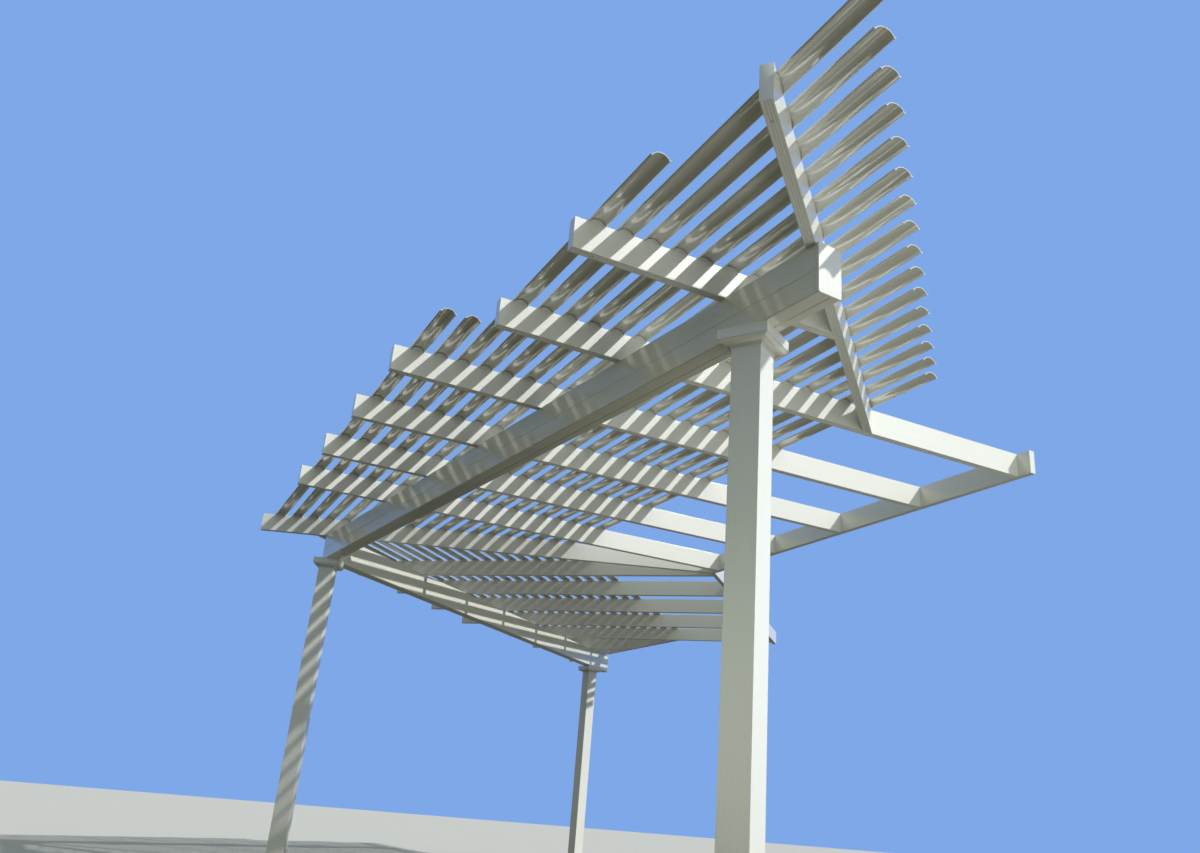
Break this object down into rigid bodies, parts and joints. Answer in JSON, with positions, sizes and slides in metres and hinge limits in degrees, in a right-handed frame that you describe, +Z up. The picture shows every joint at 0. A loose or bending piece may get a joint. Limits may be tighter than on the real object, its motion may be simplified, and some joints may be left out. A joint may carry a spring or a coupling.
{
  "type": "corner pergola",
  "caption": "Corner pergola of arched slats on deep rafters over mitred beams, with a hip at the bend, square posts with capitals, and ledgers for a house wall.",
  "frame": {"origin": "centre of the corner post's foot, on the floor", "axes": "+Z up; +X along the slats of wing A, away from the corner; +Y level, towards the wall behind wing A"},
  "size_m": [11.8481, 6.0551, 2.8145],
  "materials": {
    "post_white": "white extruded sleeve with fine upright ribs, satin",
    "moulding_white": "white moulded trim, satin",
    "beam_white": "white extruded beam with fine lengthwise ribs, satin",
    "rafter_white": "white extruded rafter with fine lengthwise ribs, satin",
    "slat_white": "white extruded arched slat, semi-gloss",
    "ledger_white": "white extruded board, satin",
    "cap_white": "white flat end cap, satin"
  },
  "bodies": {
    "root": {"beam_a_back": "beam_white", "beam_a_front": "beam_white", "beam_b_back": "beam_white", "beam_b_front": "beam_white", "beam_cap_a": "cap_white", "beam_cap_b": "cap_white", "capital_corner": "moulding_white", "capital_far": "moulding_white", "capital_near": "moulding_white", "end_rafter_a": "rafter_white", "end_rafter_b": "rafter_white", "foot_skirt_corner": "moulding_white", "foot_skirt_far": "moulding_white", "foot_skirt_near": "moulding_white", "hip_cap": "cap_white", "hip_rafter": "rafter_white", "ledger_a": "ledger_white", "ledger_b": "ledger_white", "post_corner": "post_white", "post_far": "post_white", "post_near": "post_white", "rafter_a_1": "rafter_white", "rafter_a_2": "rafter_white", "rafter_a_3": "rafter_white", "rafter_a_4": "rafter_white", "rafter_a_5": "rafter_white", "rafter_a_6": "rafter_white", "rafter_b_1": "rafter_white", "rafter_b_2": "rafter_white", "rafter_b_3": "rafter_white", "rafter_b_4": "rafter_white", "rafter_b_5": "rafter_white", "rafter_b_6": "rafter_white", "rafter_caps_a": "cap_white", "rafter_caps_b": "cap_white", "slats_a_1": "slat_white", "slats_a_2": "slat_white", "slats_a_3": "slat_white", "slats_a_4": "slat_white", "slats_a_5": "slat_white", "slats_b_1": "slat_white", "slats_b_2": "slat_white", "slats_b_3": "slat_white", "slats_b_4": "slat_white", "slats_b_5": "slat_white"}
  },
  "joints": []
}
